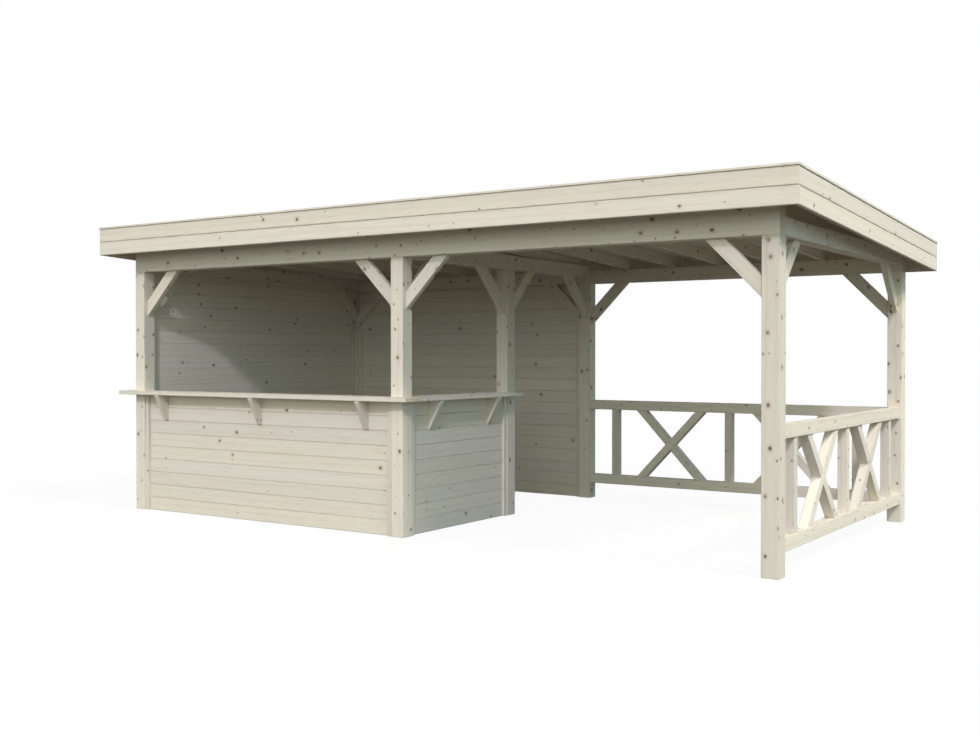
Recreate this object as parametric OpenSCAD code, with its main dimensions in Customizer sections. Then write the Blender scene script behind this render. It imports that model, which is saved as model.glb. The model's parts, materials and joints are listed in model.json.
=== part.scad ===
// Timber garden pavilion with a corner bar, under a low mono-pitch roof.
// X runs along the open front, Y from front to back, Z up. The origin lies on the
// ground at the centre of the post grid. Millimetres.

/* [Post grid] */
// Length over the outer posts, along X
grid_l = 6120; // [5000:10:7500]
// Depth over the outer posts, along Y
grid_d = 3120; // [2400:10:4200]
// Side of the square posts
post_w = 120; // [90:1:150]
// Height of the front posts and the inner bar post
post_h = 2180; // [2000:5:2600]
// How much shorter the back posts are
back_drop = 50; // [0:5:120]
// Distance from the front of the posts to the back of the inner bar post
bar_d = 1620; // [1200:10:1900]

/* [Beams] */
// Height of the side beams and the middle beam
beam_h = 120; // [80:1:150]
// Height of the back beam at its front edge
back_beam_h = 120; // [90:1:180]
// Slope of the roof, falling to the back, in degrees
roof_slope = 3; // [1.5:0.5:4]

/* [Knee braces] */
// Length of a brace's longer edge along the post and along the beam
brace_leg = 405; // [300:5:600]
// Width of a brace
brace_w = 99; // [70:1:120]
// Thickness of a brace
brace_t = 45; // [30:1:60]

/* [Roof] */
// Overhang past the posts at the left and right, to the face of the fascia
eave_side = 200; // [120:5:400]
// Overhang past the posts at the front and back, to the face of the fascia
eave_front = 240; // [120:5:400]
// Width of a rafter
rafter_w = 45; // [30:1:70]
// Height of a rafter
rafter_h = 95; // [70:1:145]
// Distance between the rafters, from centre to centre
rafter_pitch = 475; // [400:5:650]
// Thickness of the roof boards
deck_t = 19; // [15:1:28]
// Thickness of the roofing felt
felt_t = 3; // [2:1:6]
// Height of one fascia board
fascia_board = 118.5; // [90:0.5:145]
// Thickness of a fascia board
fascia_t = 20; // [15:1:28]
// Height of the fascia's top edge above the roof boards
fascia_upstand = 34; // [15:1:50]
// Width of the batten that caps the fascia
cap_w = 60; // [35:1:80]
// Thickness of the capping batten
cap_t = 16; // [12:1:25]
// How far the capping batten stands out past the fascia
cap_lip = 6; // [0:1:20]

/* [Walls] */
// Thickness of the wall boards
wall_t = 45; // [28:1:60]
// Cover height of one wall board
board_pitch = 117.5; // [90:0.5:140]
// Number of boards in the bar's half-height walls
bar_boards = 9; // [7:1:10]
// Setback of the walls from the outer faces of the posts
wall_setback = 30; // [20:1:40]
// Width of the battens that fix the wall boards to the posts
batten_w = 45; // [25:1:60]
// Thickness of the battens
batten_t = 20; // [12:1:20]

/* [Counter] */
// Thickness of the counter planks
counter_t = 35; // [22:1:50]
// How far the counter stands out past the posts
counter_out = 100; // [60:5:180]
// How far the counter runs past the left post
counter_end = 115; // [0:5:160]
// Height of a counter bracket
bracket_h = 230; // [120:5:300]
// Thickness of a counter bracket
bracket_t = 45; // [20:1:80]
// Distance from a post's face to the middle of the nearest bracket
bracket_gap = 270; // [150:5:350]

/* [Railings] */
// Height of the underside of the bottom rail
rail_low = 152; // [60:1:250]
// Height of the top of the railing
rail_top = 972; // [850:1:1100]
// Side of the square rails
rail_w = 90; // [70:1:110]
// Side of the square balusters and cross bars
bar_w = 70; // [45:1:70]
// Distance from a post's face to the middle of the nearest baluster
baluster_gap = 270; // [150:5:350]
// Angle of the crossed bars to the ground, in degrees
cross_angle = 46.6; // [40:0.1:55]

/* [Hidden] */

half_l = grid_l / 2;
half_d = grid_d / 2;
mid_x = post_w / 2;                     // right face of the middle row of posts
inner_y = -half_d + bar_d - post_w;     // front face of the inner bar post
gap = 1;                                // joint left between neighbouring boards
rise = tan(roof_slope);

roof_l = grid_l + 2 * eave_side;
roof_d = grid_d + 2 * eave_front;
front_y = -roof_d / 2;
back_y = roof_d / 2;

back_post_h = post_h - back_drop;
// Underside of the rafters at a given Y. It meets the back beam's front top edge.
function seat_z(y) = back_post_h + back_beam_h + rise * (half_d - post_w - y);
rafter_rise = rafter_h / cos(roof_slope);
deck_rise = deck_t / cos(roof_slope);
felt_rise = felt_t / cos(roof_slope);
function deck_z(y) = seat_z(y) + rafter_rise;
function fascia_z(y) = deck_z(y) + deck_rise + fascia_upstand;
fascia_h = 2 * fascia_board + gap;

bar_h = bar_boards * board_pitch;
counter_z = bar_h;                      // the counter lies on the bar's walls
bay_l = half_l - 1.5 * post_w;          // clear length of a bay between posts
bay_x = mid_x + bay_l / 2;              // centre of the right bay; the left one mirrors it
bay_d = grid_d - 2 * post_w;            // clear depth between front and back posts

timber = [0.86, 0.83, 0.75];
pale = [0.90, 0.87, 0.80];
dark = [0.25, 0.26, 0.26];

// A box between two corners.
module block(low, high) {
    translate(low) cube(high - low);
}

// A sheet that follows the roof: bottom(y) gives its underside, rise its vertical thickness.
module sloped(x0, x1, y0, y1, z0, z1, thick) {
    translate([x0, 0, 0]) rotate([90, 0, 90]) linear_extrude(x1 - x0)
        polygon([[y0, z0], [y1, z1], [y1, z1 + thick], [y0, z0 + thick]]);
}

// ---- posts ----
module post(x, y, h = post_h) {
    color(pale) block([x, y, 0], [x + post_w, y + post_w, h]);
}
module front_left_post() { post(-half_l, -half_d); }
module front_middle_post() { post(-mid_x, -half_d); }
module front_right_post() { post(half_l - post_w, -half_d); }
module back_left_post() { post(-half_l, half_d - post_w, back_post_h); }
module back_middle_post() { post(-mid_x, half_d - post_w, back_post_h); }
module back_right_post() { post(half_l - post_w, half_d - post_w, back_post_h); }
module inner_bar_post() { post(-mid_x, inner_y); }

// ---- beams ----
// A cross beam whose top is bevelled to the roof's slope.
module cross_beam(y0, z) {
    y1 = y0 + post_w;
    color(timber) translate([-half_l, 0, 0]) rotate([90, 0, 90]) linear_extrude(grid_l)
        polygon([[y0, z], [y1, z], [y1, seat_z(y1)], [y0, seat_z(y0)]]);
}
module front_beam() { cross_beam(-half_d, post_h); }
module back_beam() { cross_beam(half_d - post_w, back_post_h); }

// A level beam that runs from the front beam to the back beam.
module level_beam(x) {
    color(timber) block([x, -half_d + post_w, post_h], [x + post_w, half_d - post_w, post_h + beam_h]);
}
module left_beam() { level_beam(-half_l); }
module middle_beam() { level_beam(-mid_x); }
module right_beam() { level_beam(half_l - post_w); }

// ---- knee braces ----
// Outline of a 45 degree brace: the post's face is the vertical axis, the beam's underside is y = 0.
module brace_outline() {
    short_leg = brace_leg - brace_w * sqrt(2);
    polygon([[0, -brace_leg], [brace_leg, 0], [short_leg, 0], [0, -short_leg]]);
}
// Brace along X from the post face at x, towards side (1 or -1), with its front face at y.
module brace_x(x, y, side, z = post_h) {
    color(pale) translate([x, y + (side > 0 ? brace_t : 0), z])
        rotate([90, 0, side > 0 ? 0 : 180]) linear_extrude(brace_t) brace_outline();
}
// Brace along Y from the post face at y, towards side (1 or -1), with its left face at x.
module brace_y(x, y, side) {
    color(pale) translate([x + (side > 0 ? 0 : brace_t), y, post_h])
        rotate([90, 0, side > 0 ? 90 : -90]) linear_extrude(brace_t) brace_outline();
}
centre_brace = (post_w - brace_t) / 2;   // setback of a brace that is centred on its post
front_brace_y = -half_d + centre_brace;
back_brace_y = half_d - post_w + centre_brace;
right_brace_x = half_l - post_w + centre_brace;
row_brace_x = -brace_t / 2;
// beside a full-height wall the braces lie against its inner face
left_brace_x = -half_l + wall_setback + wall_t;
wall_brace_y = half_d - wall_setback - wall_t - brace_t;
module front_left_braces() {
    brace_x(-half_l + post_w, front_brace_y, 1);
    brace_y(left_brace_x, -half_d + post_w, 1);
}
module front_middle_braces() {
    brace_x(-mid_x, front_brace_y, -1);
    brace_x(mid_x, front_brace_y, 1);
    brace_y(row_brace_x, -half_d + post_w, 1);
}
module front_right_braces() {
    brace_x(half_l - post_w, front_brace_y, -1);
    brace_y(right_brace_x, -half_d + post_w, 1);
}
module back_left_braces() {
    brace_x(-half_l + post_w, wall_brace_y, 1, back_post_h);
    brace_y(left_brace_x, half_d - post_w, -1);
}
module back_middle_braces() {
    brace_x(-mid_x, wall_brace_y, -1, back_post_h);
    brace_x(mid_x, back_brace_y, 1, back_post_h);
    brace_y(row_brace_x, half_d - post_w, -1);
}
module back_right_braces() {
    brace_x(half_l - post_w, back_brace_y, -1, back_post_h);
    brace_y(right_brace_x, half_d - post_w, -1);
}
module inner_post_braces() {
    brace_y(row_brace_x, inner_y, -1);
    brace_y(row_brace_x, inner_y + post_w, 1);
}

// ---- roof ----
edge_rafter_x = roof_l / 2 - fascia_t - rafter_w / 2;
side_rafters = floor((edge_rafter_x - 2 * rafter_w) / rafter_pitch);
rafter_xs = [-edge_rafter_x, for (i = [-side_rafters : side_rafters]) i * rafter_pitch, edge_rafter_x];
module rafters() {
    y0 = front_y + fascia_t;
    y1 = back_y - fascia_t;
    color(timber) difference() {
        for (x = rafter_xs)
            sloped(x - rafter_w / 2, x + rafter_w / 2, y0, y1, seat_z(y0), seat_z(y1), rafter_rise);
        // a rafter is planed where it rests on a level beam
        for (x = [-half_l, -mid_x, half_l - post_w])
            block([x, -half_d + post_w, post_h], [x + post_w, half_d - post_w, post_h + beam_h]);
    }
}
module roof_deck() {
    y0 = front_y + fascia_t;
    y1 = back_y - fascia_t;
    x1 = roof_l / 2 - fascia_t;
    color(timber) sloped(-x1, x1, y0, y1, deck_z(y0), deck_z(y1), deck_rise);
}
module roof_felt() {
    y0 = front_y + fascia_t;
    y1 = back_y - fascia_t;
    x1 = roof_l / 2 - fascia_t;
    color(dark) sloped(-x1, x1, y0, y1, deck_z(y0) + deck_rise, deck_z(y1) + deck_rise, felt_rise);
}
// Two boards, one above the other, across the front or the back.
module cross_fascia(y) {
    top = fascia_z(y + fascia_t);         // lowest point of the cap's underside above it
    color(timber) for (i = [0, 1])
        block([-roof_l / 2, y, top - (i + 1) * fascia_board - i * gap],
              [roof_l / 2, y + fascia_t, top - i * (fascia_board + gap)]);
}
module front_fascia() { cross_fascia(front_y); }
module back_fascia() { cross_fascia(back_y - fascia_t); }
// Two boards that follow the slope, between the front and the back fascia.
module side_fascia(x) {
    y0 = front_y + fascia_t;
    y1 = back_y - fascia_t;
    color(timber) for (i = [0, 1])
        sloped(x, x + fascia_t, y0, y1,
               fascia_z(y0) - (i + 1) * fascia_board - i * gap,
               fascia_z(y1) - (i + 1) * fascia_board - i * gap, fascia_board);
}
module left_fascia() { side_fascia(-roof_l / 2); }
module right_fascia() { side_fascia(roof_l / 2 - fascia_t); }
module edge_caps() {
    x1 = roof_l / 2 + cap_lip;
    fy = front_y - cap_lip;
    by = back_y + cap_lip;
    color(pale) {
        for (y = [fy, by - cap_w])
            sloped(-x1, x1, y, y + cap_w, fascia_z(y), fascia_z(y + cap_w), cap_t);
        for (x = [-x1, x1 - cap_w])
            sloped(x, x + cap_w, fy + cap_w + gap, by - cap_w - gap,
                   fascia_z(fy + cap_w + gap), fascia_z(by - cap_w - gap), cap_t);
    }
}

// ---- walls ----
// Inner and outer faces of the walls
left_x = -half_l + wall_setback;
back_wall_y = half_d - wall_setback - wall_t;
bar_y = -half_d + wall_setback;
bar_x = mid_x - wall_setback;
module left_wall() {
    color(timber) block([left_x, -half_d + post_w, 0], [left_x + wall_t, half_d - post_w, post_h]);
}
module back_wall() {
    color(timber) block([-half_l + post_w, back_wall_y, 0], [-mid_x, back_wall_y + wall_t, back_post_h]);
}
module bar_front_wall() {
    color(timber) block([-half_l + post_w, bar_y, 0], [-mid_x, bar_y + wall_t, bar_h]);
}
module bar_side_wall() {
    color(timber) block([bar_x - wall_t, -half_d + post_w, 0], [bar_x, inner_y, bar_h]);
}
// Battens at both ends of a wall that runs along X, on the side of it that faces y.
module battens_x(x0, x1, y, h) {
    color(pale) for (x = [x0, x1 - batten_w]) block([x, y, 0], [x + batten_w, y + batten_t, h]);
}
module battens_y(y0, y1, x, h) {
    color(pale) for (y = [y0, y1 - batten_w]) block([x, y, 0], [x + batten_t, y + batten_w, h]);
}
// The inner battens of the full-height walls end below the braces.
module wall_battens() {
    battens_x(-half_l + post_w, -mid_x, back_wall_y + wall_t, back_post_h);
    battens_x(-half_l + post_w, -mid_x, back_wall_y - batten_t, back_post_h - brace_leg - gap);
    battens_y(-half_d + post_w, half_d - post_w, left_x - batten_t, post_h);
    battens_y(-half_d + post_w, half_d - post_w, left_x + wall_t, post_h - brace_leg - gap);
}
module bar_battens() {
    battens_x(-half_l + post_w, -mid_x, bar_y - batten_t, bar_h);
    battens_y(-half_d + post_w, inner_y, bar_x, bar_h);
}

// ---- counter ----
module front_counter() {
    y0 = -half_d - counter_out;
    color(pale) difference() {
        block([-half_l - counter_end, y0, counter_z],
              [mid_x + counter_out, -half_d + post_w, counter_z + counter_t]);
        for (x = [-half_l, -mid_x])
            block([x, -half_d, counter_z - 1], [x + post_w, -half_d + post_w + 1, counter_z + counter_t + 1]);
    }
}
module side_counter() {
    color(pale) difference() {
        block([-mid_x, -half_d + post_w + gap, counter_z],
              [mid_x + counter_out, inner_y + post_w, counter_z + counter_t]);
        block([-mid_x - 1, inner_y, counter_z - 1],
              [mid_x, inner_y + post_w + 1, counter_z + counter_t + 1]);
    }
}
// Outline of a bracket: the wall is the vertical axis, the counter's underside is y = 0.
module bracket_outline() {
    nose = 15;                          // height of the blunt tip
    reach = wall_setback + counter_out - 5;
    polygon([[0, 0], [reach, 0], [reach, -nose], [nose, -bracket_h], [0, -bracket_h]]);
}
module counter_brackets() {
    side_y = (-half_d + post_w + inner_y) / 2;
    side_step = side_y + half_d - post_w - bracket_gap;
    color(pale) {
        for (i = [-1 : 1])
            translate([-bay_x + i * (bay_l / 2 - bracket_gap) + bracket_t / 2, bar_y, counter_z])
                rotate([90, 0, -90]) linear_extrude(bracket_t) bracket_outline();
        for (i = [-1, 1])
            translate([bar_x, side_y + i * side_step + bracket_t / 2, counter_z])
                rotate([90, 0, 0]) linear_extrude(bracket_t) bracket_outline();
    }
}

// ---- railings ----
// The parts of a railing are drawn along X between two posts, centred on x = 0 and on
// y = 0, and are then put in place. The distance between the posts is length.
module on_back() { translate([bay_x, half_d - post_w / 2, 0]) children(); }
module on_side() { translate([half_l - post_w / 2, 0, 0]) rotate([0, 0, 90]) children(); }
cross_low = rail_low + rail_w;
cross_high = rail_top - rail_w;
function baluster_step(length) = length / 2 - baluster_gap;
module rail(length, z) {
    color(timber) block([-length / 2, -rail_w / 2, z], [length / 2, rail_w / 2, z + rail_w]);
}
module balusters(length) {
    color(timber) for (i = [-1 : 1])
        translate([i * baluster_step(length), 0, 0])
            block([-bar_w / 2, -bar_w / 2, cross_low], [bar_w / 2, bar_w / 2, cross_high]);
}
// Two crosses, each centred between two balusters and cut level at both rails.
module crosses(length) {
    mid_z = (cross_low + cross_high) / 2;
    arm = cross_high - cross_low;
    color(timber) for (i = [-0.5, 0.5])
        translate([i * baluster_step(length), 0, 0]) intersection() {
            union() for (turn = [cross_angle, -cross_angle])
                translate([0, bar_w / 2, mid_z]) rotate([90, 0, 0]) rotate(turn)
                    linear_extrude(bar_w) square([3 * arm, bar_w], center = true);
            block([-2 * arm, -bar_w / 2, cross_low], [2 * arm, bar_w / 2, cross_high]);
        }
}
module side_top_rail() { on_side() rail(bay_d, cross_high); }
module side_bottom_rail() { on_side() rail(bay_d, rail_low); }
module side_balusters() { on_side() balusters(bay_d); }
module side_crosses() { on_side() crosses(bay_d); }
module back_top_rail() { on_back() rail(bay_l, cross_high); }
module back_bottom_rail() { on_back() rail(bay_l, rail_low); }
module back_balusters() { on_back() balusters(bay_l); }
module back_crosses() { on_back() crosses(bay_l); }

front_left_post();
front_middle_post();
front_right_post();
back_left_post();
back_middle_post();
back_right_post();
inner_bar_post();
front_beam();
back_beam();
left_beam();
middle_beam();
right_beam();
front_left_braces();
front_middle_braces();
front_right_braces();
back_left_braces();
back_middle_braces();
back_right_braces();
inner_post_braces();
rafters();
roof_deck();
roof_felt();
front_fascia();
back_fascia();
left_fascia();
right_fascia();
edge_caps();
left_wall();
back_wall();
bar_front_wall();
bar_side_wall();
wall_battens();
bar_battens();
front_counter();
side_counter();
counter_brackets();
side_top_rail();
side_bottom_rail();
side_balusters();
side_crosses();
back_top_rail();
back_bottom_rail();
back_balusters();
back_crosses();
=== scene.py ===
# Timber garden pavilion with a corner bar: planed spruce on a white ground.
import json
import math
import bpy
import numpy as np
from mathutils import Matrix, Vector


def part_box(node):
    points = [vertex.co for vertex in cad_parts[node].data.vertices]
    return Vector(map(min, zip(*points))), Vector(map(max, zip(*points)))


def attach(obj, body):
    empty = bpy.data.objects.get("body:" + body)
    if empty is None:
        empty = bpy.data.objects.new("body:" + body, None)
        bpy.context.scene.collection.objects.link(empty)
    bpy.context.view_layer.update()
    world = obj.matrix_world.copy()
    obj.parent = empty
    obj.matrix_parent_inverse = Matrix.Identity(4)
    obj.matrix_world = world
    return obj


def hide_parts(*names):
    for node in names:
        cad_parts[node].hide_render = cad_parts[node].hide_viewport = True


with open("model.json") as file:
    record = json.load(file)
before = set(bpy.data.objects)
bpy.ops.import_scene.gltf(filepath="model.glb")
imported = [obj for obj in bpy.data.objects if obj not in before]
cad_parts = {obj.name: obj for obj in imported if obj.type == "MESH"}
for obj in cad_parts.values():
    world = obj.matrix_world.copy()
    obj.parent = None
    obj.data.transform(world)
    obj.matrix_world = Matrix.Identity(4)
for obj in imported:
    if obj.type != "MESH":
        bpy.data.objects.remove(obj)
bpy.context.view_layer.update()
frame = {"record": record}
print("frame loaded")


class Socket:
    # One output of a shader node, with arithmetic that adds Math nodes.
    def __init__(self, graph, out):
        self.graph, self.out = graph, out

    def math(self, operation, *others):
        node = self.graph.node("ShaderNodeMath", {"operation": operation}, dict(enumerate((self,) + others)))
        return Socket(self.graph, node.outputs[0])

    def __add__(self, other): return self.math("ADD", other)
    def __radd__(self, other): return self.math("ADD", other)
    def __sub__(self, other): return self.math("SUBTRACT", other)
    def __mul__(self, other): return self.math("MULTIPLY", other)
    def __rmul__(self, other): return self.math("MULTIPLY", other)
    def __truediv__(self, other): return self.math("DIVIDE", other)
    def __rsub__(self, other): return self.graph.wrap(other).math("SUBTRACT", self)
    def __rtruediv__(self, other): return self.graph.wrap(other).math("DIVIDE", self)


class Graph:
    def __init__(self, tree):
        self.tree = tree
        tree.nodes.clear()

    def node(self, kind, settings=None, inputs=None):
        made = self.tree.nodes.new(kind)
        for key, value in (settings or {}).items():
            setattr(made, key, value)
        for key, value in (inputs or {}).items():
            if isinstance(value, Socket):
                self.tree.links.new(value.out, made.inputs[key])
            else:
                made.inputs[key].default_value = value
        return made

    def wrap(self, value):
        return self.out(self.node("ShaderNodeMath", {"operation": "ADD"}, {0: value, 1: 0.0}))

    def out(self, node, name=0):
        return Socket(self, node.outputs[name])

    def vector(self, x, y, z=0.0):
        return self.out(self.node("ShaderNodeCombineXYZ", None, {0: x, 1: y, 2: z}))

    def split(self, vector):
        node = self.node("ShaderNodeSeparateXYZ", None, {0: vector})
        return [self.out(node, k) for k in range(3)]

    def noise(self, vector, scale, detail=3.0, rough=0.5):
        node = self.node("ShaderNodeTexNoise", {"noise_dimensions": "3D"},
                         {"Vector": vector, "Scale": scale, "Detail": detail, "Roughness": rough})
        return self.out(node, "Fac")

    def ramp(self, value, low, high, start=0.0, end=1.0):
        node = self.node("ShaderNodeMapRange", {"interpolation_type": "SMOOTHSTEP"},
                         {0: value, 1: low, 2: high, 3: start, 4: end})
        return self.out(node)

    def mix(self, factor, a, b, blend="MIX"):
        node = self.node("ShaderNodeMix", {"data_type": "RGBA", "blend_type": blend}, {0: factor, 6: a, 7: b})
        return self.out(node, 2)


def newMaterial(name):
    material = bpy.data.materials.new(name)
    material.use_nodes = True
    return material, Graph(material.node_tree)


def surface(graph, settings):
    shader = graph.node("ShaderNodeBsdfPrincipled", None, settings)
    graph.node("ShaderNodeOutputMaterial", None, {"Surface": graph.out(shader)})


# Spruce. The "grain" layer holds metres along and across each face of a board, shifted by a
# random amount; "rim" holds the distance from the middle of the face and half its width;
# "tone" holds three random numbers of the board and, in alpha, 1 on a cut end. In the look,
# knotStep and knotSize are metres, a share is of the cells that have a knot, vary is how far a
# board's brightness strays, and mottle is the strength of the painted shade along its edges.
spruceLook = {
    "pale": (0.738, 0.680, 0.600, 1), "cream": (0.765, 0.697, 0.585, 1), "pink": (0.740, 0.650, 0.575, 1),
    "grey": (0.60, 0.57, 0.495, 1), "late": (0.56, 0.455, 0.335, 1), "knot": (0.075, 0.05, 0.034, 1),
    "figure": (0.40, 0.325, 0.25, 1), "halo": (0.50, 0.39, 0.28, 1), "end": (0.63, 0.545, 0.43, 1),
    # the first colour on the next line is painted shade, laid along the long edges of each face
    "paintedShade": (0.30, 0.27, 0.21, 1), "knotStep": (0.42, 0.105), "knotSize": 0.0105, "knotShare": 0.50,
    "pinShare": 0.22, "vary": 0.06, "mottle": 0.34,
}


def knots(graph, u, v, tone, step, size, share):
    # Round spots, one to a cell of a stretched Voronoi grid; share of the cells have one.
    cells = graph.node("ShaderNodeTexVoronoi", {"voronoi_dimensions": "2D", "feature": "F1"},
                       {"Vector": graph.vector(u / step[0], v / step[1]), "Scale": 1.0, "Randomness": 0.9})
    colour = graph.split(graph.out(cells, "Color"))
    place = graph.split(graph.out(cells, "Position"))
    du = (u / step[0] - place[0]) * step[0]
    dv = (v / step[1] - place[1]) * step[1]
    wobble = graph.noise(graph.vector(u * 90.0, v * 90.0, tone), 1.0, 2.0) - 0.5
    reach = (du * du * 0.72 + dv * dv).math("SQRT") + wobble * (0.35 * size)
    radius = graph.ramp(colour[1], 0.0, 1.0, 0.45 * size, 1.25 * size)
    there = colour[0].math("LESS_THAN", share)
    return {"du": du, "dv": dv, "near": reach / radius, "there": there, "dark": colour[2]}


def spruce(name, look):
    s = dict(spruceLook, **look)
    material, g = newMaterial(name)
    grain = g.split(g.out(g.node("ShaderNodeUVMap", {"uv_map": "grain"}), "UV"))
    rim = g.split(g.out(g.node("ShaderNodeUVMap", {"uv_map": "rim"}), "UV"))
    toneNode = g.node("ShaderNodeVertexColor", {"layer_name": "tone"})
    tone = g.split(g.out(toneNode, "Color"))
    cut = g.out(toneNode, "Alpha")
    u, v = grain[0], grain[1]
    big = knots(g, u, v, tone[0], s["knotStep"], s["knotSize"], s["knotShare"])
    pin = knots(g, u + 3.1, v + 1.7, tone[1], (0.23, 0.06), 0.0048, s["pinShare"])
    # the grain bends round the knots: across is pushed away, fading with distance
    push = big["there"] * (big["dv"] / (big["near"] * big["near"] * 0.16 + 1.0)) * 0.75
    across = v - push
    drift = g.noise(g.vector(u * 0.45, across * 4.0, tone[0] * 9.0), 1.0, 1.5) * 0.085
    rings = (across + drift) * 95.0 + g.noise(g.vector(u * 1.3, across * 14.0, tone[1] * 7.0), 1.0, 2.0) * 3.4
    late = g.ramp((rings.math("SINE") * 0.5 + 0.5).math("POWER", 3.0), 0.1, 0.95)
    fibre = g.noise(g.vector(u * 6.0, across * 900.0, tone[2] * 5.0), 1.0, 3.0, 0.6)
    streak = g.noise(g.vector(u * 1.1, across * 38.0, tone[1] * 11.0), 1.0, 4.0, 0.6)
    patch = g.noise(g.vector(u * 1.7, v * 9.0, tone[2] * 13.0), 1.0, 2.0)
    strokes = g.ramp(g.noise(g.vector(u * 5.0, across * 210.0, tone[0] * 17.0), 1.0, 2.0, 0.55), 0.60, 0.74)
    flecked = g.ramp(g.noise(g.vector(u * 2.2, v * 16.0, tone[1] * 19.0), 1.0, 1.0), 0.46, 0.66)
    base = g.mix(g.ramp(tone[0], 0.0, 1.0), s["pale"], s["cream"])
    base = g.mix(g.ramp(patch, 0.42, 0.75) * (0.25 + tone[1] * s["vary"] * 8.0), base, s["pink"])
    base = g.mix(g.ramp(streak, 0.55, 0.80) * 0.25, base, s["grey"])
    base = g.mix(late * g.ramp(streak, 0.30, 0.75, 0.04, 0.27), base, s["late"])
    base = g.mix(g.ramp(fibre, 0.35, 0.80) * 0.14, base, s["late"])
    base = g.mix(strokes * flecked * 0.62, base, s["figure"])
    # a cut end shows the rings as arcs: sine of 900 times the distance from the pith
    arcs = ((u * u + v * v).math("SQRT") * 900.0).math("SINE") * 0.5 + 0.5
    base = g.mix(cut * 0.75, base, g.mix(arcs * 0.45, s["end"], s["late"]))
    for k, strength in ((big, 0.95), (pin, 0.78)):
        halo = k["there"] * g.ramp(k["near"], 0.9, 2.6, 0.45, 0.0)
        core = k["there"] * g.ramp(k["near"], 0.55, 1.1, 1.0, 0.0) * (0.6 + k["dark"] * 0.4) * strength
        base = g.mix(halo, base, s["halo"])
        base = g.mix(core, base, s["knot"])
    # painted shade darkens each face along its long edges, in patches set by a noise
    edge = rim[1] - rim[0].math("ABSOLUTE")
    mottle = g.noise(g.vector(u * 7.0, v * 60.0, tone[0]), 1.0, 3.0)
    shadeMask = g.ramp(edge, 0.0, 0.010, s["mottle"], 0.0) * g.ramp(mottle, 0.30, 0.65, 0.25, 1.0)
    base = g.mix(shadeMask, base, s["paintedShade"])
    board = g.ramp(tone[2], 0.0, 1.0, 0.99 - s["vary"], 0.99 + s["vary"])
    bright = board * g.ramp(mottle, 0.2, 0.8, 1.02, 0.97)
    base = g.out(g.node("ShaderNodeVectorMath", {"operation": "SCALE"}, {0: base, "Scale": bright}))
    rough = g.ramp(late, 0.0, 1.0, 0.62, 0.52) + mottle * 0.10
    height = fibre * 0.35 + late * 0.5 + g.ramp(big["near"], 0.8, 1.2, 0.6, 0.0) * big["there"]
    bump = g.node("ShaderNodeBump", None, {"Strength": 0.16, "Distance": 0.0012, "Height": height})
    surface(g, {"Base Color": base, "Roughness": rough, "Normal": g.out(bump), "Specular IOR Level": 0.28})
    return material


def feltMaterial():
    material, g = newMaterial("mineral felt")
    where = g.out(g.node("ShaderNodeTexCoord"), "Object")
    grit = g.noise(where, 900.0, 3.0, 0.7)
    blotch = g.noise(where, 3.0, 4.0, 0.6)
    sparkle = g.ramp(g.noise(where, 1500.0, 1.0), 0.62, 0.75)
    base = g.mix(g.ramp(grit, 0.3, 0.7), (0.030, 0.031, 0.033, 1), (0.115, 0.117, 0.12, 1))
    base = g.mix(sparkle * 0.6, base, (0.32, 0.32, 0.31, 1))
    base = g.mix(g.ramp(blotch, 0.4, 0.7) * 0.35, base, (0.14, 0.135, 0.12, 1))
    bump = g.node("ShaderNodeBump", None, {"Strength": 0.7, "Distance": 0.0015, "Height": grit})
    surface(g, {"Base Color": base, "Roughness": g.ramp(grit, 0.2, 0.8, 0.8, 0.95), "Normal": g.out(bump)})
    return material


woods = {
    "frame_timber": spruce("spruce frame", {"knotShare": 0.74, "knotSize": 0.0110, "knotStep": (0.24, 0.10)}),
    "roof_timber": spruce("spruce roof", {"knotShare": 0.45}),
    "fascia_boards": spruce("spruce fascia", {"knotShare": 0.30, "pinShare": 0.12}),
    # the wall boards get weaker painted shade along their edges
    "wall_boards": spruce("spruce walls", {"knotShare": 0.20, "pinShare": 0.09, "vary": 0.022, "mottle": 0.12}),
    "trim_timber": spruce("spruce trim", {"knotShare": 0.4, "knotSize": 0.007, "knotStep": (0.30, 0.08)}),
    "railing_timber": spruce("spruce railing", {"knotShare": 0.6, "knotSize": 0.008,
                                                "knotStep": (0.30, 0.08)}),
    "roofing_felt": feltMaterial(),
}
print("materials made")


slotOf = {entry["node"]: entry["material_slot"] for entry in frame["record"]["subparts"]}
chance = np.random.default_rng(7)
axisX, axisY, axisZ = np.eye(3)


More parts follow.
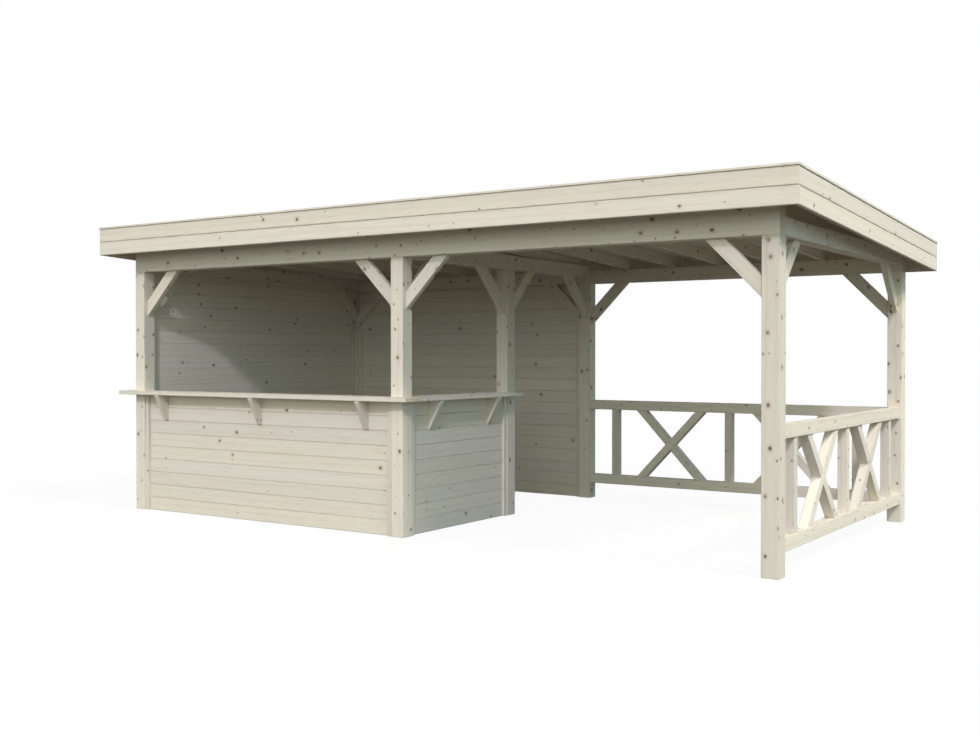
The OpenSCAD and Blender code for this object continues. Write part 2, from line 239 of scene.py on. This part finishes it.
class Piece:
    # A mesh of straight boards. A board is an outline (p, q) in metres, placed along two
    # vectors and carried along a third one.
    def __init__(self, name):
        self.name, self.points, self.faces = name, [], []
        self.grain, self.rim, self.tone, self.count = [], [], [], 0

    def board(self, outline, low, high, origin, p, q, w, along, shear=None):
        # point = origin + p * outline_p + q * outline_q + w * t, at t = low and t = high;
        # shear adds shear . (p, q) to t, so that the ends are cut at an angle
        outline = np.asarray(outline, float)
        n = len(outline)
        flat = origin + outline[:, :1] * p + outline[:, 1:] * q
        skew = outline @ np.asarray(shear, float) if shear is not None else np.zeros(n)
        points = np.concatenate([flat + (low + skew)[:, None] * w, flat + (high + skew)[:, None] * w])
        nxt = np.roll(np.arange(n), -1)
        turn = np.sum(outline[:, 0] * outline[nxt, 1] - outline[nxt, 0] * outline[:, 1])
        right = turn * np.dot(np.cross(p, q), w) * (high - low) > 0
        sides = np.stack([np.arange(n), nxt, nxt + n, np.arange(n) + n], 1)
        rings = [list(r if right else r[::-1]) for r in sides]
        caps = [np.arange(n)[::-1], np.arange(n) + n]
        rings += [list(c if right else c[::-1]) for c in caps]
        along = np.asarray(along, float) / np.linalg.norm(along)
        other = np.cross(along, (0.31, 0.52, 0.79))
        other /= np.linalg.norm(other)
        third = np.cross(along, other)
        tone = chance.random(3)
        for ring in rings:
            x = points[ring]
            normal = np.cross(x - x[0], np.roll(x, -1, 0) - x[0]).sum(0)
            normal /= np.linalg.norm(normal)
            isEnd = abs(normal @ along) > 0.6
            shift = chance.random(2) * 40.0
            if isEnd:
                # rings of the trunk: metres from a pith that lies a little outside the board
                uv = np.stack([(x - x.mean(0)) @ other, (x - x.mean(0)) @ third], 1) + (0.03, 0.05)
                rim = np.tile((0.0, 0.05), (len(ring), 1))
            else:
                side = np.cross(along, normal)
                side /= np.linalg.norm(side)
                s = x @ side
                uv = np.stack([x @ along, s], 1) + shift
                middle, half = (s.max() + s.min()) / 2, (s.max() - s.min()) / 2
                rim = np.stack([s - middle, np.full(len(ring), half)], 1)
            self.grain.append(uv)
            self.rim.append(rim)
            self.tone.append(np.tile(np.append(tone, float(isEnd)), (len(ring), 1)))
            self.faces.append([int(k) + self.count for k in ring])
        self.points.append(points)
        self.count += len(points)

    def box(self, low, high, along):
        # a plain board between two corners
        low, high = np.asarray(low, float), np.asarray(high, float)
        size = high - low
        outline = [(0, 0), (size[0], 0), (size[0], size[1]), (0, size[1])]
        self.board(outline, 0.0, size[2], low, axisX, axisY, axisZ, along)

    def make(self, nodes, bevel=0.0025):
        mesh = bpy.data.meshes.new(self.name)
        mesh.from_pydata(np.concatenate(self.points).tolist(), [], self.faces)
        for layer, values in (("grain", self.grain), ("rim", self.rim)):
            mesh.uv_layers.new(name=layer).data.foreach_set("uv", np.concatenate(values).ravel())
        tone = mesh.color_attributes.new("tone", "FLOAT_COLOR", "CORNER")
        tone.data.foreach_set("color", np.concatenate(self.tone).ravel())
        mesh.materials.append(woods[slotOf[nodes[0]]])
        mesh.update()
        made = bpy.data.objects.new(self.name, mesh)
        bpy.context.scene.collection.objects.link(made)
        if bevel:
            rounding = made.modifiers.new("arris", "BEVEL")
            rounding.width, rounding.segments, rounding.limit_method = bevel, 2, "ANGLE"
            rounding.angle_limit = math.radians(25)
        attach(made, "root")
        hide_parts(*nodes)
        return made


def cut(polygon, normal, limit):
    # the part of a convex polygon where point . normal is at most limit: each corner inside it,
    # and after it the point where the next edge crosses, corner + edge * side / (side - next side)
    side = polygon @ np.asarray(normal, float) - limit
    following, beyond = np.roll(polygon, -1, 0), np.roll(side, -1)
    crosses = ((side < 0) != (beyond < 0)) & (side != 0) & (beyond != 0)
    drop = np.where(crosses, side - beyond, 1.0)
    edgePoints = polygon + (following - polygon) * side[:, None] / drop[:, None]
    points = np.stack([polygon, edgePoints], 1).reshape(-1, 2)
    return points[np.stack([side <= 0, crosses], 1).ravel()]


boxes = {name: tuple(np.array(c, float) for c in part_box(name)) for name in slotOf}
roofSlope = math.radians(3)
rise = math.tan(roofSlope)
downhill = np.array([0.0, 1.0, -rise])
postWidth = boxes["front_left_post"][1][0] - boxes["front_left_post"][0][0]


for name in [n for n in boxes if n.endswith("_post")]:
    low, high = boxes[name]
    piece = Piece(name.replace("_post", "_post_timber"))
    piece.box(low, high, axisZ)
    piece.make([name], 0.004)

for name in ["left_beam", "middle_beam", "right_beam"]:
    low, high = boxes[name]
    piece = Piece(name + "_timber")
    piece.box(low, high, axisY)
    piece.make([name], 0.004)

for name in ["front_beam", "back_beam"]:
    # the top follows the roof
    low, high = boxes[name]
    piece = Piece(name + "_timber")
    outline = [(low[1], low[2]), (high[1], low[2]), (high[1], high[2] - rise * (high[1] - low[1])),
               (low[1], high[2])]
    piece.board(outline, low[0], high[0], np.zeros(3), axisY, axisZ, axisX, axisX)
    piece.make([name], 0.004)
print("posts and beams made")


braceSettings = {"leg": 0.405, "short": 0.405 - 0.099 * math.sqrt(2), "thick": 0.045}


def brace(piece, post, top, axis, side, low):
    # a strip at 45 degrees between the post's face and the beam's underside
    s = braceSettings
    outline = [(0, -s["leg"]), (s["leg"], 0), (s["short"], 0), (0, -s["short"])]
    out = (axisX if axis == "x" else axisY) * side
    thick = axisY if axis == "x" else axisX
    origin = np.array([post, 0, top]) if axis == "x" else np.array([0, post, top])
    piece.board(outline, low, low + s["thick"], origin, out, axisZ, thick, out + axisZ)


def braceSet(node, entries):
    piece = Piece(node.replace("_braces", "_brace_timbers"))
    for entry in entries:
        brace(piece, *entry)
    piece.make([node], 0.003)


fl, fm, fr = (boxes["front_%s_post" % k] for k in ("left", "middle", "right"))
bl, bm, br = (boxes["back_%s_post" % k] for k in ("left", "middle", "right"))
ib = boxes["inner_bar_post"]
frontTop, backTop = fl[1][2], bl[1][2]
half = (postWidth - braceSettings["thick"]) / 2
frontY, backY = fl[0][1] + half, bl[0][1] + half
rightX, rowX = fr[0][0] + half, fm[0][0] + half
leftX = boxes["left_wall"][1][0]
wallY = boxes["back_wall"][0][1] - braceSettings["thick"]
braceSet("front_left_braces", [(fl[1][0], frontTop, "x", 1, frontY), (fl[1][1], frontTop, "y", 1, leftX)])
braceSet("front_middle_braces", [(fm[0][0], frontTop, "x", -1, frontY), (fm[1][0], frontTop, "x", 1, frontY),
                                 (fm[1][1], frontTop, "y", 1, rowX)])
braceSet("front_right_braces", [(fr[0][0], frontTop, "x", -1, frontY), (fr[1][1], frontTop, "y", 1, rightX)])
braceSet("back_left_braces", [(bl[1][0], backTop, "x", 1, wallY), (bl[0][1], frontTop, "y", -1, leftX)])
braceSet("back_middle_braces", [(bm[0][0], backTop, "x", -1, wallY), (bm[1][0], backTop, "x", 1, backY),
                                (bm[0][1], frontTop, "y", -1, rowX)])
braceSet("back_right_braces", [(br[0][0], backTop, "x", -1, backY), (br[0][1], frontTop, "y", -1, rightX)])
braceSet("inner_post_braces", [(ib[0][1], frontTop, "y", -1, rowX), (ib[1][1], frontTop, "y", 1, rowX)])
print("braces made")


deckLow, deckHigh = boxes["roof_deck"]
# heights are measured straight up, so a thickness is divided by the cosine of the slope
roofSettings = {"rafterWidth": 0.045, "rafterHeight": 0.095 / math.cos(roofSlope), "pitch": 0.475,
                "eachSide": 6, "deck": 0.019 / math.cos(roofSlope), "board": 0.096, "groove": 0.006,
                "gap": 0.0004, "joint": 0.0007}


def seatAt(y):
    # underside of the rafters, a straight line that falls to the back
    return deckHigh[2] - roofSettings["deck"] - roofSettings["rafterHeight"] - rise * (y - deckLow[1])


def underDeck(y):
    return seatAt(y) + roofSettings["rafterHeight"]


def makeRafters():
    s = roofSettings
    piece = Piece("rafter_timbers")
    low, high = boxes["rafters"]
    y0, y1 = low[1], high[1]
    edge = high[0] - s["rafterWidth"] / 2
    middle = boxes["middle_beam"]
    inner = [k * s["pitch"] for k in range(-s["eachSide"], s["eachSide"] + 1)]
    for x in [-edge] + inner + [edge]:
        outline = [(y0, seatAt(y0)), (y1, seatAt(y1)), (y1, seatAt(y1) + s["rafterHeight"]),
                   (y0, seatAt(y0) + s["rafterHeight"])]
        if x == 0:
            # the middle rafter is notched over the middle beam
            yTop = y0 + (seatAt(y0) - middle[1][2]) / rise
            outline[1:1] = [(yTop, middle[1][2]), (middle[1][1], middle[1][2]),
                            (middle[1][1], seatAt(middle[1][1]))]
        piece.board(outline, x - s["rafterWidth"] / 2, x + s["rafterWidth"] / 2, np.zeros(3),
                    axisY, axisZ, axisX, downhill)
    piece.make(["rafters"], 0.0025)


def makeDeck():
    # boards along X with a small V between them on the underside
    s = roofSettings
    piece = Piece("roof_board_timbers")
    y0, y1 = deckLow[1], deckHigh[1]
    count = int(round((y1 - y0) / s["board"]))
    pitch = (y1 - y0) / count
    v, g = s["groove"], s["gap"]
    for k in range(count):
        a, b = y0 + k * pitch, y0 + (k + 1) * pitch
        outline = [(a + v, underDeck(a + v)), (b - v, underDeck(b - v)), (b - g, underDeck(b) + v),
                   (b - g, underDeck(b) + s["deck"]), (a + g, underDeck(a) + s["deck"]),
                   (a + g, underDeck(a) + v)]
        # each course is two boards that meet at a random place
        split = chance.uniform(-0.6, 0.6) * deckHigh[0]
        for x0, x1 in ((deckLow[0], split - s["joint"]), (split + s["joint"], deckHigh[0])):
            piece.board(outline, x0, x1, np.zeros(3), axisY, axisZ, axisX, axisX)
    piece.make(["roof_deck"], 0)


feltSettings = {"strips": 4, "lap": 0.08, "step": 0.01, "full": 0.003, "thin": 0.0018}


def makeFelt():
    # strips along X; each one laps over the one below it
    s = feltSettings
    low, high = boxes["roof_felt"]
    piece = Piece("roof_felt_strips")
    pitch = (high[1] - low[1]) / s["strips"]

    def top(y, thickness):
        return y, underDeck(y) + roofSettings["deck"] + thickness

    for k in range(s["strips"]):
        a, b = low[1] + k * pitch, low[1] + (k + 1) * pitch
        lap = b - s["lap"]
        outline = [top(a, 0), top(b, 0), top(b, s["full"]), top(lap, s["full"]),
                   top(lap - s["step"], s["thin"]), top(a, s["thin"])]
        piece.board(outline, low[0], high[0], np.zeros(3), axisY, axisZ, axisX, axisX)
    piece.make(["roof_felt"], 0)


fasciaSettings = {"bevel": 0.0045, "gap": 0.001}


def makeFascia(name):
    # two boards, one above the other, with a V between them
    low, high = boxes[name]
    piece = Piece(name + "_boards")
    across = name in ("front_fascia", "back_fascia")
    v, gap = fasciaSettings["bevel"], fasciaSettings["gap"]
    if across:
        outer, inner = (low[1], high[1]) if low[1] < 0 else (high[1], low[1])
        start, end, height = low[0], high[0], (high[2] - low[2] - gap) / 2
        p, base, w = axisY, low[2], axisX
    else:
        outer, inner = (low[0], high[0]) if low[0] < 0 else (high[0], low[0])
        start, end = low[1], high[1]
        height = (high[2] - low[2] - rise * (end - start) - gap) / 2
        p, base, w = axisX, high[2] - 2 * height - gap, downhill
    sign = 1 if inner > outer else -1
    for k in range(2):
        z0 = base + k * (height + gap)
        z1 = z0 + height
        outline = [(outer, z0 + v), (outer, z1 - v), (outer + sign * v, z1), (inner, z1), (inner, z0),
                   (outer + sign * v, z0)]
        origin = np.zeros(3) if across else -start * downhill + start * axisY
        piece.board(outline, start, end, origin, p, axisZ, w, w)
    piece.make([name], 0.0012)


capSettings = {"width": 0.06, "thick": 0.016, "gap": 0.001}


def makeCaps():
    # battens along the front and back edges, and sloping ones between them
    width, thick, gap = capSettings["width"], capSettings["thick"], capSettings["gap"]
    low, high = boxes["edge_caps"]
    piece = Piece("edge_cap_battens")

    def topAt(y):
        return high[2] - rise * (y - low[1])

    for y in (low[1], high[1] - width):
        outline = [(y, topAt(y) - thick), (y + width, topAt(y + width) - thick),
                   (y + width, topAt(y + width)), (y, topAt(y))]
        piece.board(outline, low[0], high[0], np.zeros(3), axisY, axisZ, axisX, axisX)
    y0, y1 = low[1] + width + gap, high[1] - width - gap
    for x in (low[0], high[0] - width):
        outline = [(x, topAt(y0) - thick), (x + width, topAt(y0) - thick), (x + width, topAt(y0)),
                   (x, topAt(y0))]
        piece.board(outline, 0.0, y1 - y0, y0 * axisY, axisX, axisZ, downhill, downhill)
    piece.make(["edge_caps"], 0.0015)


makeRafters()
makeDeck()
makeFelt()
for name in ["front_fascia", "back_fascia", "left_fascia", "right_fascia"]:
    makeFascia(name)
makeCaps()
print("roof made")


wallSettings = {"pitch": 0.1175, "outer": 0.0040, "inner": 0.0018, "gap": 0.0003, "tongue": 0.004,
                "inset": 0.001, "least": 0.02}
walls = {n: boxes[n] for n in ["left_wall", "back_wall", "bar_front_wall", "bar_side_wall"]}
barMiddle = np.mean([corner for box in walls.values() for corner in box], 0)


def makeWall(name):
    # boards laid on edge with bevelled edges on both faces, over a thin tongue in the middle
    s = wallSettings
    low, high = boxes[name]
    alongX = high[0] - low[0] > high[1] - low[1]
    p, w = (axisY, axisX) if alongX else (axisX, axisY)
    a, b = (low[1], high[1]) if alongX else (low[0], high[0])
    start, end = (low[0], high[0]) if alongX else (low[1], high[1])
    piece = Piece(name + "_boards")
    # the side that faces the bar's room has the finer joint
    room = barMiddle[1] if alongX else barMiddle[0]
    va, vb = (s["outer"], s["inner"]) if (a + b) / 2 < room else (s["inner"], s["outer"])
    g = s["gap"]
    z = low[2]
    while z < high[2] - s["least"]:
        top = min(z + s["pitch"], high[2])
        outline = [(a, z + va), (a + va, z + g), (b - vb, z + g), (b, z + vb), (b, top - vb),
                   (b - vb, top - g), (a + va, top - g), (a, top - va)]
        piece.board(outline, start, end, np.zeros(3), p, axisZ, w, w)
        z = top
    left, right = (a + b) / 2 - s["tongue"], (a + b) / 2 + s["tongue"]
    bottom, crown = low[2] + s["inset"], high[2] - s["inset"]
    piece.board([(left, bottom), (right, bottom), (right, crown), (left, crown)], start + s["inset"],
                end - s["inset"], np.zeros(3), p, axisZ, w, w)
    piece.make([name], 0)


for name in walls:
    makeWall(name)

battenSettings = {"width": 0.045, "underBrace": 0.001}


def makeBattens():
    # the inner ones of the full-height walls end below the braces
    width, leg = battenSettings["width"], braceSettings["leg"] + battenSettings["underBrace"]
    thick = walls["bar_front_wall"][0][1] - boxes["bar_battens"][0][1]
    full, bar = Piece("wall_batten_timbers"), Piece("bar_batten_timbers")
    low, high = walls["back_wall"]
    for x in (low[0], high[0] - width):
        full.box((x, high[1], 0), (x + width, high[1] + thick, high[2]), axisZ)
        full.box((x, low[1] - thick, 0), (x + width, low[1], high[2] - leg), axisZ)
    low, high = walls["left_wall"]
    for y in (low[1], high[1] - width):
        full.box((low[0] - thick, y, 0), (low[0], y + width, high[2]), axisZ)
        full.box((high[0], y, 0), (high[0] + thick, y + width, high[2] - leg), axisZ)
    low, high = walls["bar_front_wall"]
    for x in (low[0], high[0] - width):
        bar.box((x, low[1] - thick, 0), (x + width, low[1], high[2]), axisZ)
    low, high = walls["bar_side_wall"]
    for y in (low[1], high[1] - width):
        bar.box((high[0], y, 0), (high[0] + thick, y + width, high[2]), axisZ)
    full.make(["wall_battens"], 0.002)
    bar.make(["bar_battens"], 0.002)


makeBattens()
print("walls made")


def makeCounter():
    # planks with notches where the posts stand
    low, high = boxes["front_counter"]
    piece = Piece("front_counter_plank")
    y0, y1 = fl[0][1], high[1]
    outline = [(low[0], low[1]), (high[0], low[1]), (high[0], y1), (fm[1][0], y1), (fm[1][0], y0),
               (fm[0][0], y0), (fm[0][0], y1), (fl[1][0], y1), (fl[1][0], y0), (fl[0][0], y0), (fl[0][0], y1),
               (low[0], y1)]
    piece.board(outline, low[2], high[2], np.zeros(3), axisX, axisY, axisZ, axisX)
    piece.make(["front_counter"], 0.003)
    low, high = boxes["side_counter"]
    piece = Piece("side_counter_plank")
    outline = [(low[0], low[1]), (high[0], low[1]), (high[0], high[1]), (ib[1][0], high[1]),
               (ib[1][0], ib[0][1]), (low[0], ib[0][1])]
    piece.board(outline, low[2], high[2], np.zeros(3), axisX, axisY, axisZ, axisY)
    piece.make(["side_counter"], 0.003)


bracketSettings = {"height": 0.230, "reach": 0.125, "nose": 0.015, "thick": 0.045, "gap": 0.270,
                   "grain": (0.11, 0.215)}


def makeBrackets():
    # plates whose grain runs along the sloping edge
    s = bracketSettings
    piece = Piece("counter_bracket_plates")
    outline = [(0, 0), (s["reach"], 0), (s["reach"], -s["nose"]), (s["nose"], -s["height"]),
               (0, -s["height"])]
    front, side = boxes["bar_front_wall"], boxes["bar_side_wall"]
    tilt = s["grain"]
    for x in (front[0][0] + s["gap"], (front[0][0] + front[1][0]) / 2, front[1][0] - s["gap"]):
        piece.board(outline, x - s["thick"] / 2, x + s["thick"] / 2, np.array([0, front[0][1], front[1][2]]),
                    -axisY, axisZ, axisX, -axisY * tilt[0] + axisZ * tilt[1])
    for y in (side[0][1] + s["gap"], side[1][1] - s["gap"]):
        piece.board(outline, y - s["thick"] / 2, y + s["thick"] / 2, np.array([side[1][0], 0, side[1][2]]),
                    axisX, axisZ, axisY, axisX * tilt[0] + axisZ * tilt[1])
    piece.make(["counter_brackets"], 0.002)


makeCounter()
makeBrackets()
print("counter made")


crossAngle = math.radians(46.6)


def makeRailing(which):
    low, high = boxes[which + "_balusters"]
    length = axisX if which == "back" else axisY
    depth = axisY if which == "back" else axisX
    k, d = (0, 1) if which == "back" else (1, 0)
    for part in ("top", "bottom"):
        a, b = boxes["%s_%s_rail" % (which, part)]
        rail = Piece("%s_%s_rail_timber" % (which, part))
        rail.box(a, b, length)
        rail.make(["%s_%s_rail" % (which, part)], 0.003)
    width = high[d] - low[d]
    balusters = Piece(which + "_baluster_timbers")
    places = [low[k] + width / 2, (low[k] + high[k]) / 2, high[k] - width / 2]
    for c in places:
        corner, other = np.array(low), np.array(high)
        corner[k], other[k] = c - width / 2, c + width / 2
        balusters.box(corner, other, axisZ)
    balusters.make([which + "_balusters"], 0.003)
    # each cross: one whole bar, and one bar in two lengths that meet it
    crosses = Piece(which + "_cross_timbers")
    rising = np.array([math.cos(crossAngle), math.sin(crossAngle)])
    falling = rising * (1, -1)
    middleZ, reach = (low[2] + high[2]) / 2, (high[2] - low[2]) / 2
    for c in ((places[0] + places[1]) / 2, (places[1] + places[2]) / 2):
        origin = length * c + axisZ * middleZ
        for direction, crossing in ((rising, None), (falling, rising)):
            side = np.array([-direction[1], direction[0]])
            strip = np.array([direction * a + side * b for a, b in
                              ((-1, -width / 2), (1, -width / 2), (1, width / 2), (-1, width / 2))])
            strip = cut(cut(strip, (0, 1), reach), (0, -1), reach)
            parts = [strip]
            if crossing is not None:
                normal = np.array([-crossing[1], crossing[0]])
                parts = [cut(strip, normal, -width / 2), cut(strip, -normal, -width / 2)]
            for part in parts:
                crosses.board(part, low[d], high[d], origin, length, axisZ, depth,
                              length * direction[0] + axisZ * direction[1])
    crosses.make([which + "_crosses"], 0.0025)


makeRailing("side")
makeRailing("back")
print("railings made")


scene = bpy.context.scene
cameraSettings = {"place": (5.562, -8.608, 1.425), "yaw": 33.65, "pitch": -0.68, "lens": 42.32}
lens = bpy.data.cameras.new("camera")
lens.lens, lens.sensor_width, lens.sensor_fit = cameraSettings["lens"], 36.0, "HORIZONTAL"
camera = bpy.data.objects.new("camera", lens)
camera.location = cameraSettings["place"]
camera.rotation_euler = (math.radians(90 + cameraSettings["pitch"]), 0, math.radians(cameraSettings["yaw"]))
scene.collection.objects.link(camera)
scene.camera = camera

suns = {
    "front sun": {"toward": (0.46, -1.0, 0.74), "angle": 3.5, "light": (1.07, 1.0, 1.22)},
    "side sun": {"toward": (1.0, -0.12, 1.15), "angle": 16.0, "light": (2.45, 2.25, 2.02)},
}
for name, s in suns.items():
    lamp = bpy.data.lights.new(name, "SUN")
    strongest = max(s["light"])
    lamp.energy, lamp.angle = strongest, math.radians(s["angle"])
    lamp.color = [c / strongest for c in s["light"]]
    sun = bpy.data.objects.new(name, lamp)
    toward = np.array(s["toward"]) / np.linalg.norm(s["toward"])
    sun.rotation_euler = (math.acos(toward[2]), 0, math.atan2(toward[0], -toward[1]))
    scene.collection.objects.link(sun)

# The sky is a sum of soft coloured parts. The camera sees it as white.
world = bpy.data.worlds.new("sky")
world.use_nodes = True
scene.world = world
g = Graph(world.node_tree)
direction = g.split(g.out(g.node("ShaderNodeTexCoord"), "Generated"))
sky = {"dark": (0.0, 0.0, 0.0, 1), "right": (0.36, 0.62, 0.70, 1), "front": (1.30, 1.35, 1.19, 1)}
light = g.mix(g.ramp(direction[0], -0.2, 0.95), sky["dark"], sky["right"], "ADD")
light = g.mix(g.ramp(direction[1] * -1.0, -0.2, 1.0), light, sky["front"], "ADD")
lit = g.node("ShaderNodeBackground", None, {"Color": light, "Strength": 1.0})
white = g.node("ShaderNodeBackground", None, {"Color": (1, 1, 1, 1), "Strength": 1.0})
path = g.node("ShaderNodeLightPath")
seen = g.out(path, "Is Camera Ray").math("MAXIMUM", g.out(path, "Is Glossy Ray")).math(
    "MAXIMUM", g.out(path, "Is Transmission Ray"))
both = g.node("ShaderNodeMixShader", None, {0: seen, 1: g.out(lit), 2: g.out(white)})
g.node("ShaderNodeOutputWorld", None, {"Surface": g.out(both)})

# The camera sees the ground as white with a faint shadow of the object on it; to other rays it
# is a dull lawn.
ground = bpy.data.meshes.new("ground")
reach = 400
ground.from_pydata([(-reach, -reach, 0), (reach, -reach, 0), (reach, reach, 0), (-reach, reach, 0)], [],
                   [(0, 1, 2, 3)])
groundObject = bpy.data.objects.new("ground", ground)
scene.collection.objects.link(groundObject)
material, g = newMaterial("white ground")
path = g.node("ShaderNodeLightPath")
dull = g.node("ShaderNodeBsdfDiffuse", None, {"Color": (0.15, 0.15, 0.13, 1)})
paper = g.node("ShaderNodeBsdfDiffuse", None, {"Color": (0.8, 0.8, 0.8, 1)})
glow = g.node("ShaderNodeEmission", None, {"Color": (1, 1, 1, 1), "Strength": 1.0})
shown = g.node("ShaderNodeMixShader", None, {0: 0.94, 1: g.out(paper), 2: g.out(glow)})
isSeen = g.out(path, "Is Camera Ray")
mixed = g.node("ShaderNodeMixShader", None, {0: isSeen, 1: g.out(dull), 2: g.out(shown)})
g.node("ShaderNodeOutputMaterial", None, {"Surface": g.out(mixed)})
ground.materials.append(material)

scene.view_settings.view_transform = "Standard"
